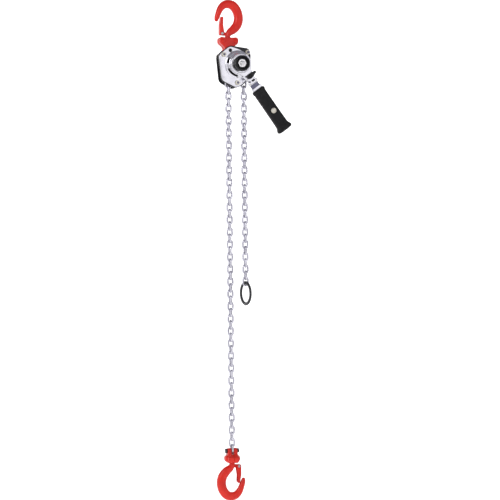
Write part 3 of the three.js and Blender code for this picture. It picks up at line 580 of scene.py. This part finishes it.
for part, corners, start, end in (("front", FRAME_CORNERS, -13.5, -11),
                                  ("rear", REAR_PLATE_CORNERS, 11, 13.5)):
    holes = STAY_HOLES + [(0, PIN_Z, 3.6), (SHAFT.x, SHAFT.z, 7.6)]
    bm = plate(rounded(corners, 7, 10), start, end, 0.5, holes)
    if part == "front":
        for joint in ("pawl_a_lift", "pawl_b_lift"):
            pawl = (PIVOT[joint].x, 0, PIVOT[joint].z)
            absorb(bm, made(bar, 1.0, -19, -12.8, centre=pawl, edge=0.2, steps=20))
    piece(f"frame_plate_{part}_form", "frame_body", BLACK, bm, [f"frame_plate_{part}"])


def ring_sector(inner, outer, y_start, y_end, start, end, steps=28):
    """A block that follows an arc round the shaft, with its angles in degrees."""
    sections = []
    for i in range(steps + 1):
        angle = math.radians(start + (end - start) * i / steps)
        out = Vector((math.cos(angle), 0, math.sin(angle)))
        centre = Vector((SHAFT.x, 0, SHAFT.z))
        sections.append([centre + out * r + Vector((0, y, 0))
                         for r, y in ((inner, y_start), (outer, y_start), (outer, y_end), (inner, y_end))])
    return made(loft, sections)


def keyhole():
    """A round hole at the top pin that runs into a slot."""
    radius, slot = 3.45, 1.725
    reach = Vector((4.4, -6.2))
    heading = math.atan2(reach.y, reach.x)
    opening = math.asin(slot / radius)
    points = [Vector((radius * math.cos(a), radius * math.sin(a))) for a in
              [heading + opening + (2 * math.pi - 2 * opening) * i / 28 for i in range(29)]]
    points += [reach + Vector((slot * math.cos(a), slot * math.sin(a))) for a in
               [heading - math.pi / 2 + math.pi * i / 12 for i in range(13)]]
    return [Vector((p.x, PIN_Z + p.y)) for p in points]


cover = plate(rounded(COVER_CORNERS, 7, 10), -FLANGE_OUT, -FLANGE_IN, 0.6,
              STAY_HOLES[:1] + STAY_HOLES[2:] + [keyhole(), (SHAFT.x, SHAFT.z, DRUM_R - 1.2)])
drum = made(turned, [
    (27.4, -15.2), (27.4, -15.95), (26.4, -16.3), (25.5, -16.9), (25.2, -17.8), (25.2, -18.6), (24.9, -19.5),
    (24.1, -20.2), (23.2, -20.5), (22.4, -20.5), (21.9, -20.8), (21.4, -21.6), (20.8, -22.3), (20.0, -22.6),
    (13.4, -22.6), (12.7, -22.3), (12.6, -21.6), (19.4, -21.4), (20.6, -19.8), (23.4, -19.2), (23.9, -18.4),
    (23.9, -15.2),
], centre=SHAFT, steps=128, closed=True)
for start, end in ((148, 178), (202, 262), (20, 52), (306, 338)):
    drum = boolean(drum, ring_sector(20.4, 26.1, -21.9, -16.4, start, end))
piece("brake_cover_form", "frame_body", CHROME, absorb(cover, drum), ["brake_cover"], sharp=38)

gear_ends = [PIVOT["disc_gear_a_turn"], PIVOT["disc_gear_b_turn"]]


def stadium(first, last, radius, steps=24):
    """A long outline with round ends, about two points in the XZ plane."""
    run = Vector((last.x - first.x, last.z - first.z))
    heading = math.degrees(math.atan2(run.y, run.x))
    return (arc(first.x, first.z, radius, heading + 90, heading + 270, steps)
            + arc(last.x, last.z, radius, heading - 90, heading + 90, steps))


gear_cover = plate(rounded(REAR_CORNERS, 7, 10), FLANGE_IN, FLANGE_OUT, 0.5, STAY_HOLES)
CASE_PROFILE = [(16.2, 15.6), (15.4, 16.0), (14.7, 17.0), (14.4, 18.2), (14.4, 28.2), (14.1, 29.3),
                (13.3, 30.1), (12.2, 30.5)]
case = [[Vector((p.x, y, p.y)) for p in stadium(*gear_ends, radius)] for radius, y in CASE_PROFILE]
absorb(gear_cover, made(loft, case))
# a raised bearing boss at each gear axle and at the shaft
for centre, radius in ((gear_ends[0], 4.2), (gear_ends[1], 4.2), (SHAFT, 5.6)):
    absorb(gear_cover, made(turned, [
        (radius + 0.9, 30.2), (radius + 0.5, 30.5), (radius - 0.6, 30.5), (radius - 1, 30.2),
        (radius - 1.2, 29.8), (0.4, 29.8)], centre=(centre.x, 0, centre.z), steps=40))
# cover screws round the flange
for x, z in ((-10, -101), (-9.5, -131), (33.4, -94), (24, -140)):
    absorb(gear_cover, made(turned, [
        (2.6, 15.6), (2.6, 17.1), (2.2, 17.7), (1.4, 17.9), (1.2, 17.2), (0.3, 17.2)],
        centre=(x, 0, z), steps=28))
piece("gear_cover_form", "frame_body", BLACK, gear_cover, ["gear_cover"], sharp=35)


def threaded(bm, radius, start, end, centre, lead=0.8):
    """A threaded end, its thread as fine rings, with a dished tip at the start."""
    rows = [(0.5, start + 0.7), (radius * 0.45, start + 0.5), (radius * 0.62, start), (radius - 0.35, start)]
    y = start + 0.3
    while y < end - lead:
        rows += [(radius, y + lead * 0.3), (radius, y + lead * 0.45), (radius - 0.28, y + lead * 0.8)]
        y += lead
    turned(bm, rows + [(radius, end)], centre=centre, steps=28)


for i, (x, z) in enumerate(STAYS, 1):
    centre = (x, 0, z)
    thread = made(threaded, 2.4, -20.2, -11, centre)
    piece(f"stay_thread_{i}", "frame_body", BLUED, thread)
    # the spacer between the plates, the shank through the gear cover and the hexagonal head
    bolt = made(bar, 3.5, -10.7, 10.7, centre=centre)
    absorb(bolt, made(bar, 2.4, 10.5, 16.4, centre=centre))
    absorb(bolt, made(hexagon, 8.0, 16.1, 19.2, centre=centre))
    piece(f"stay_bolt_{i}_form", "frame_body", ZINC, bolt, [f"stay_bolt_{i}"])
    # the second nut sits on the frame plate, the other two on the brake cover
    seat = 13.8 if i == 2 else 16.1
    nut = made(hexagon, 8.0, -seat - 3.2, -seat - 0.5, centre=centre)
    nut = boolean(nut, made(bar, 2.5, -30, -5, centre=centre, edge=0.1))
    washer = [(2.6, -seat - 0.5), (4.7, -seat - 0.5), (4.9, -seat - 0.3), (4.9, -seat), (2.6, -seat)]
    absorb(nut, made(turned, washer, centre=centre, steps=40, closed=True))
    piece(f"stay_nut_{i}_form", "frame_body", ZINC, nut, [f"stay_nut_{i}"])


# ---------------------------------------------------------------- lever, selector and knob
# The lever is made hanging straight down from the origin, then turned to its place.
AT_SHAFT = Matrix.Translation((SHAFT.x, 0, SHAFT.z))
LEVER = AT_SHAFT @ Matrix.Rotation(-LEVER_ANGLE, 4, "Y")
HEAD_R = 20
HEAD_NECK = 10.5


def head_outline(radius, neck, length, steps=40):
    """The lever head's outline: most of a circle, running into a straight neck."""
    start = math.degrees(math.asin(min(1, (neck + 2.5) / radius)))
    points = arc(0, 0, radius, -90 + start, 270 - start, steps)
    left = [Vector((-neck - 1, -radius * 0.98)), Vector((-neck, -radius * 1.2))]
    right = [Vector((neck, -radius * 1.2)), Vector((neck + 1, -radius * 0.98))]
    corners = rounded([(-neck, -length + 6), (-neck, -length), (neck, -length), (neck, -length + 6)], 2.5)
    return points + left + corners + right


def cavity(y_start, y_end):
    """The space in the shells for the change gear, the selector's pawl and its swing."""
    bm = made(bar, HEAD_R - 2, y_start, y_end, edge=0.2, steps=64)
    bm = boolean(bm, block((-8.5, y_start, -SELECTOR_AT - 8), (8.5, y_end, 0)), "UNION")
    return boolean(bm, block((-11, y_start, -SELECTOR_AT + 7), (11, y_end, -8)), "UNION")


rear = plate(head_outline(HEAD_R, HEAD_NECK, 47), -27, -23, 1.1, [(0, 0, 10.8)])
rear = boolean(rear, cavity(-29.5, -24))
shank = plate(rounded([(-9, -44), (9, -44), (9, -152), (-9, -152)], 1.5), -26.6, -23.4, 0.9)
piece("lever_shank", "lever_body", BLUED, moved(shank, LEVER))
collar = plate(rounded([(-10.2, -54), (10.2, -54), (10.6, -59.8), (-10.6, -59.8)], 0.8), -28.4, -21.8, 0.8)
absorb(rear, collar)
piece("lever_rear_shell_form", "lever_body", CHROME, moved(rear, LEVER), ["lever_rear_shell"], sharp=36)

front = plate(head_outline(HEAD_R, HEAD_NECK, 45.5), -30.6, -27.3, 1.3, [(0, 0, 6), (0, -SELECTOR_AT, 3.4)])
front = boolean(front, cavity(-29.5, -24))
# a pressed rim round the head
RIM_PROFILE = [(16.8, -30.2), (17.2, -30.9), (18.0, -31.15), (18.8, -30.9), (19.3, -30.2)]
absorb(front, made(turned, RIM_PROFILE, steps=96, closed=True))
piece("lever_front_shell_form", "lever_body", CHROME, moved(front, LEVER), ["lever_front_shell"], sharp=36)

# four small dark marks round the selector
marks = bmesh.new()
for corners in ([(-9, -24.5), (-4.5, -25), (-8, -29)], [(9, -24.5), (4.5, -25), (8, -29)],
                [(-8.4, -36), (-3.4, -39.5), (-8, -41)], [(-2.4, -38), (4.4, -38), (5.4, -42), (-1.4, -42)]):
    absorb(marks, plate(rounded(corners, 0.6), -30.85, -30.3, 0.15))
piece("selector_marks", "lever_body", PLASTIC, moved(marks, LEVER))

# shell rivets beside the neck
for i, (x, z) in enumerate(((-8.2, -32.5), (8.2, -32.5), (-8, -43.3), (8, -43.3)), 1):
    rivet = made(turned, [(1.3, -30.4), (1.3, -30.8), (1.0, -31.1), (0.5, -31.25), (0.1, -31.3)],
                 centre=(x, 0, z), steps=24)
    piece(f"shell_rivet_{i}", "lever_body", ZINC, moved(rivet, LEVER))


def grip_section(x_half, y_half, z, grooved, steps=96):
    """A rounded-rectangle section of the grip, with grooves along its broad faces."""
    squareness, groove_pitch, groove_depth, middle = 0.55, 2.9, 0.55, -25
    points = []
    for i in range(steps):
        angle = 2 * math.pi * i / steps
        c, s = math.cos(angle), math.sin(angle)
        x = math.copysign(abs(c) ** squareness, c) * x_half
        y = math.copysign(abs(s) ** squareness, s) * y_half
        flat = max(0.0, abs(s) - 0.45) * grooved
        groove = 0.5 - 0.5 * math.cos(x * 2 * math.pi / groove_pitch)
        y -= math.copysign(groove_depth * flat * groove, s)
        points.append(Vector((x, middle + y, z)))
    return points


GRIP = [
    # distance along the lever, half width, half thickness, groove depth
    (60.0, 10.8, 5.2, 0), (60.4, 11.9, 6.4, 0), (61.4, 12.9, 7.2, 0), (63.5, 13.2, 7.5, 0),
    (66.0, 13.0, 7.4, 0), (67.4, 12.5, 6.9, 0), (68.6, 12.3, 6.7, 0.3), (72.0, 12.2, 6.8, 1),
    (90.0, 12.2, 6.9, 1),
    (112.0, 12.3, 6.9, 1), (134.0, 12.5, 7.0, 1), (142.0, 12.7, 7.1, 0.8), (145.0, 13.2, 7.2, 0.2),
    (148.0, 14.6, 7.4, 0), (150.0, 15.8, 7.5, 0), (152.2, 16.2, 7.5, 0), (154.2, 15.6, 7.2, 0),
    (155.4, 14.2, 6.4, 0), (156.0, 12.0, 5.0, 0),
]
GRIP_STEPS = len(GRIP) * 5 - 5
sections = []
for i in range(GRIP_STEPS + 1):
    along, x_half, y_half, grooved = spline_at(GRIP, i / GRIP_STEPS)
    sections.append(grip_section(x_half, y_half, -along, grooved))
piece("lever_grip_form", "lever_body", RUBBER, moved(made(loft, sections), LEVER), ["lever_grip"], sharp=50)

SCREW_PROFILE = [(2.1, -27.6), (2.1, -31.8), (5.4, -31.9), (5.4, -33.0), (4.9, -33.6), (3.2, -34.0),
                 (0.1, -34.0)]
screw = made(turned, SCREW_PROFILE, centre=(0, 0, -110.8), steps=56)
screw = boolean(screw, block((-6, -35, -111.35), (6, -33.3, -110.25)))
piece("grip_screw_form", "lever_body", ZINC, moved(screw, LEVER), ["grip_screw"])

at = -SELECTOR_AT
selector = plate(rounded([(-4.5, at - 3.5), (4.5, at - 3.5), (5.8, at + 15), (3, at + 15.4),
                          (0, at + 10), (-3, at + 15.4), (-5.8, at + 15)], 0.8), -28.4, -25, 0.3)
absorb(selector, made(bar, 3.0, -33.4, -25, centre=(0, 0, at)))
handle = plate(rounded([(-4.6, at + 3.4), (0, at + 5), (4, at + 4.2), (14.5, at + 3.8), (15.5, at - 0.6),
                        (4.2, at - 4), (0, at - 5), (-4.6, at - 3.4), (-6.6, at)], 1.6), -34.4, -31, 0.8)
absorb(selector, handle)
CAP_PROFILE = [(3.4, -34.2), (3.1, -34.4), (1.9, -34.4), (1.7, -34.0), (0.1, -34.0)]
absorb(selector, made(turned, CAP_PROFILE, centre=(0, 0, at), steps=36))
piece("selector_lever_form", "selector_body", PLASTIC, moved(selector, LEVER), ["selector_lever"])


# The knob: eight shallow flutes outside, and a dish with ribs round the shaft nut.
FLUTES = 8
FLUTE_DEPTH = 0.045     # as a share of the radius


def flutes(angle):
    """The share of the knob's radius left at an angle."""
    return 1 - FLUTE_DEPTH * (0.5 + 0.5 * math.cos(FLUTES * angle)) ** 3


knob = made(turned, [(4.6, -31.2), (9.3, -31.2), (9.5, -31.6), (9.5, -33.0)], centre=SHAFT, steps=64)
absorb(knob, made(turned, [
    (9.0, -33.0), (14.0, -33.0), (15.0, -33.4), (15.5, -34.2), (15.6, -35.4), (15.6, -39.4), (15.4, -40.6),
    (14.7, -41.3), (13.8, -41.5)], centre=SHAFT, steps=192, lobes=flutes))
knob = boolean(knob, made(turned, [
    (4.5, -36.2), (9.8, -36.2), (10.8, -36.8), (11.9, -39.8), (12.5, -41.6), (13.0, -43), (4.5, -43)],
    centre=SHAFT, steps=96))
for i in range(FLUTES):
    spoke = plate(rounded([(7.0, -0.55), (11.2, -0.7), (11.2, 0.7), (7.0, 0.55)], 0.3), -39.2, -36.0, 0.25)
    turn = AT_SHAFT @ Matrix.Rotation(2 * math.pi * (i + 0.5) / FLUTES, 4, "Y")
    absorb(knob, moved(spoke, turn))
piece("hand_knob_form", "knob_body", PLASTIC, knob, ["hand_knob"], sharp=34)

shaft_nut = made(hexagon, 8.8, -42.1, -38.9, centre=SHAFT)
WASHER_PROFILE = [(7.6, -38.9), (7.6, -38.4), (3.0, -38.4), (3.0, -38.9)]
absorb(shaft_nut, made(turned, WASHER_PROFILE, centre=SHAFT, steps=48, closed=True))
piece("shaft_nut_form", "drive_body", BRIGHT, shaft_nut, ["shaft_nut"])
TIP_PROFILE = [(4.2, -42.0), (4.2, -42.35), (3.6, -42.7), (1.3, -42.75), (1.0, -42.3), (0.1, -42.2)]
piece("shaft_tip", "drive_body", BRIGHT, made(turned, TIP_PROFILE, centre=SHAFT, steps=48))
# a six-pointed lock washer under the nut
star = []
for i in range(12):
    radius = 6.2 if i % 2 else 9.4
    angle = math.pi * i / 6
    star.append(Vector((SHAFT.x + radius * math.cos(angle), SHAFT.z + radius * math.sin(angle))))
piece("lock_star", "drive_body", MACHINED, plate(star, -38.3, -37.5, 0.2, [(SHAFT.x, SHAFT.z, 4.4)]))


# ---------------------------------------------------------------- chains and end ring
LINK_SIDES, LINK_ARC = 10, 9
LINK_WELD = 1.072       # how much thicker a link is at its weld


def link_path(radius, half_straight):
    """The centre line of a link in the XZ plane, with its outward directions."""
    path = []
    for start, z in ((0, half_straight), (180, -half_straight)):
        for i in range(LINK_ARC + 1):
            a = math.radians(start + 180 * i / LINK_ARC)
            out = Vector((math.cos(a), 0, math.sin(a)))
            path.append((Vector((0, 0, z)) + out * radius, out))
        # the straight side that follows, down on the left and up on the right
        side = -1 if start == 0 else 1
        for share in (0.55, 0.12, -0.12, -0.55):
            path.append((Vector((side * radius, 0, -side * half_straight * share)), Vector((side, 0, 0))))
    return path


def add_link(bm, wire, turned_link, place):
    """One welded round-wire link, made at the origin in the XZ plane, or turned to the YZ plane."""
    radius = LINK_WIDTH / 2 - WIRE_R
    half_straight = PITCH / 2 + WIRE_R - radius
    rotation = Matrix.Rotation(math.pi / 2, 4, "Z") if turned_link else Matrix.Identity(4)
    rings = []
    for point, out in link_path(radius, half_straight):
        weld = LINK_WELD if point.x > 0 and abs(point.z) < 0.5 else 1
        ring = []
        for j in range(LINK_SIDES):
            a = 2 * math.pi * j / LINK_SIDES
            offset = out * math.cos(a) + Vector((0, 1, 0)) * math.sin(a)
            ring.append(place @ rotation @ (point + offset * wire * weld))
        rings.append(ring)
    loft(bm, rings, closed=True)


def chain_piece(name, body, x, links, step, replaced, wrap=False):
    """Runs of links, counted down from the sheave; each further length is a little thinner."""
    bm = bmesh.new()
    wire = WIRE_R - THINNER_BY * step
    for run_x, run_links in zip(x, links):
        for k in run_links:
            add_link(bm, wire, k % 2 == 0, Matrix.Translation(Vector((run_x, 0, SHAFT.z - PITCH * k))))
    if wrap:
        for i in (1, 2, 3):
            turn = AT_SHAFT @ Matrix.Rotation(i * math.pi / 4, 4, "Y")
            add_link(bm, wire, i % 2 == 0, turn @ Matrix.Translation(Vector((-SHAFT.x, 0, 0))))
    return piece(name, body, PLATED, bm, [replaced], sharp=60)


SLACK_X = 2 * SHAFT.x
THINNER_BY = 0.015
LENGTHS = 6
RUN = 12                # links in one moving length
LOAD_FIRST, LOAD_STEP = 14, 8       # last link of the fixed run, and links added by each length
SLACK_FIRST, SLACK_STEP = 11, 4
chain_piece("chain_over_sheave_form", "frame_body", (0, SLACK_X),
            (range(LOAD_FIRST + 1), range(SLACK_FIRST + 1)), 0, "chain_over_sheave", wrap=True)
for i in range(1, LENGTHS + 1):
    for side, x, bottom in (("load", 0, LOAD_FIRST + LOAD_STEP * i),
                            ("slack", SLACK_X, SLACK_FIRST + SLACK_STEP * i)):
        links = range(bottom - RUN + 1, bottom + 1)
        chain_piece(f"{side}_chain_{i}_form", f"{side}_length_{i}", (x,), (links,), i, f"{side}_chain_{i}")

ring_centre = (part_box("end_ring")[0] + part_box("end_ring")[1]) / 2 / MM
RING_R, RING_RADIAL, RING_AXIAL = 20.6, 3.2, 2.3
RING_TURN = 0.12        # radians round the vertical, as it hangs in the last link
ring_turn = Matrix.Translation(ring_centre) @ Matrix.Rotation(RING_TURN, 4, "Z")
sections = []
for i in range(96):
    a = 2 * math.pi * i / 96
    out = Vector((0, math.cos(a), math.sin(a)))
    weld = 1 + 0.06 * math.exp(-((a - math.pi * 1.5) / 0.07) ** 2)
    sections.append([ring_turn @ (out * (RING_R + RING_RADIAL * weld * math.cos(b))
                                  + Vector((1, 0, 0)) * RING_AXIAL * weld * math.sin(b))
                     for b in [2 * math.pi * j / 20 for j in range(20)]])
piece("end_ring_form", "ring_body", BLACK, made(loft, sections, closed=True), ["end_ring"], sharp=60)


# ---------------------------------------------------------------- CAD nodes that keep their own shape
BY_SLOT = {slot: material for material, slot in SLOTS.items()}
KEPT_BEVEL = 0.25 * MM
KEPT = ("chain_guide", "chain_stripper", "ratchet_disc", "load_sheave", "load_gear", "disc_gear_a",
        "disc_gear_b", "drive_shaft", "brake_hub", "friction_disc_inner", "friction_disc_outer",
        "change_gear", "pawl_a", "pawl_b")
for row in frame["record"]["subparts"]:
    node = frame["nodes"][row["node"]]
    material = BY_SLOT[row["material_slot"]]
    if not node.material_slots:
        node.data.materials.append(material)
    for material_slot in node.material_slots:
        material_slot.material = material
    if row["node"] in KEPT:
        bevel = node.modifiers.new("edges", "BEVEL")
        bevel.width = KEPT_BEVEL
        bevel.segments = 2
        bevel.limit_method = "ANGLE"
        bevel.angle_limit = math.radians(40)


# ---------------------------------------------------------------- floor, backdrop, lights and camera
FLOOR_Z = -1.3          # below the chain's reach at both lift limits
NEAR_Y, FAR_Y = -4.5, -1.2          # between these depths the stage's own glow rises
NEAR_GLOW, FAR_GLOW = 0.12, 0.66


def stage_material():
    """A pale matt surface whose own glow is stronger behind the hoist than in front of it."""
    material, tree, shader = node_material("pale_studio")
    tone = ramp(tree, noise(tree, 3.0), [(0.3, 0.66), (0.7, 0.7)])
    tree.links.new(tone, shader.inputs["Base Color"])
    shader.inputs["Roughness"].default_value = 0.9
    shader.inputs["Emission Color"].default_value = (1, 1, 1, 1)
    place = tree.nodes.new("ShaderNodeTexCoord")
    split = tree.nodes.new("ShaderNodeSeparateXYZ")
    tree.links.new(place.outputs["Object"], split.inputs[0])
    glow = tree.nodes.new("ShaderNodeMapRange")
    glow.inputs["From Min"].default_value = NEAR_Y
    glow.inputs["From Max"].default_value = FAR_Y
    glow.inputs["To Min"].default_value = NEAR_GLOW
    glow.inputs["To Max"].default_value = FAR_GLOW
    tree.links.new(split.outputs["Y"], glow.inputs["Value"])
    tree.links.new(glow.outputs["Result"], shader.inputs["Emission Strength"])
    return material


def add_floor():
    """A round pale floor that curves up into a low wall all round the hoist."""
    bend, floor_radius, height = 1.5, 5.5, 3.6
    profile = [(0.01, 0.0), (1.0, 0.0), (3.0, 0.0), (floor_radius, 0.0)]
    profile += [(floor_radius + bend * math.sin(a), bend - bend * math.cos(a))
                for a in [math.pi / 2 * i / 16 for i in range(1, 17)]]
    profile += [(floor_radius + bend, height)]
    rings = [circle(r, FLOOR_Z + z, 96, "Z") for r, z in profile]
    bm = made(loft, rings, caps=False)
    mesh = bpy.data.meshes.new("studio_floor")
    bm.to_mesh(mesh)
    bm.free()
    mesh.polygons.foreach_set("use_smooth", [True] * len(mesh.polygons))
    mesh.materials.append(stage_material())
    obj = bpy.data.objects.new("studio_floor", mesh)
    bpy.context.scene.collection.objects.link(obj)


VIEW_AZIMUTH = math.radians(20)         # the camera stands this far round from -Y towards -X
CAMERA_DISTANCE = 3.0
AIM_ACROSS, AIM_HEIGHT = 0.039, -0.469  # the point aimed at, across the picture and up, in metres
CAMERA_ROLL = math.radians(-0.6)
VIEW_WIDTH = 0.97                       # metres across the picture at the hoist
SENSOR_WIDTH = 36


def aimed(obj, target, roll=0.0):
    """Turns a camera or light to face a point, rolled about its own line of sight."""
    direction = target - obj.location
    obj.rotation_euler = (direction.to_track_quat("-Z", "Y").to_matrix()
                          @ Matrix.Rotation(roll, 3, "Z")).to_euler()


def add_camera():
    data = bpy.data.cameras.new("camera")
    data.sensor_width = SENSOR_WIDTH
    data.lens = SENSOR_WIDTH * CAMERA_DISTANCE / VIEW_WIDTH
    data.clip_end = 30
    camera = bpy.data.objects.new("camera", data)
    bpy.context.scene.collection.objects.link(camera)
    across = Vector((math.cos(VIEW_AZIMUTH), -math.sin(VIEW_AZIMUTH), 0))
    aim = across * AIM_ACROSS + Vector((0, 0, AIM_HEIGHT))
    camera.location = aim + Vector((-math.sin(VIEW_AZIMUTH), -math.cos(VIEW_AZIMUTH), 0)) * CAMERA_DISTANCE
    aimed(camera, aim, CAMERA_ROLL)
    bpy.context.scene.camera = camera


def area_light(name, location, target, size, power, colour=(1, 1, 1)):
    data = bpy.data.lights.new(name, "AREA")
    data.shape = "RECTANGLE"
    data.size, data.size_y = size
    data.energy = power
    data.color = colour
    light = bpy.data.objects.new(name, data)
    light.location = location
    bpy.context.scene.collection.objects.link(light)
    aimed(light, Vector(target))


def add_world(strength):
    world = bpy.data.worlds.new("studio")
    world.use_nodes = True
    background = world.node_tree.nodes["Background"]
    background.inputs["Color"].default_value = (0.9, 0.9, 1.0, 1)
    background.inputs["Strength"].default_value = strength
    bpy.context.scene.world = world


add_floor()
add_camera()
add_world(0.30)
area_light("key", (-1.8, -2.0, 0.9), (0, 0, -0.2), (1.0, 1.4), 28)
area_light("front_card", (1.1, -2.6, 0.2), (0.02, 0, -0.3), (1.5, 1.9), 5, (0.97, 0.96, 1.0))
area_light("back_wash", (0.6, 2.2, 1.9), (1.6, 6.6, -0.2), (3.0, 1.0), 110)
bpy.context.scene.view_settings.view_transform = "Standard"
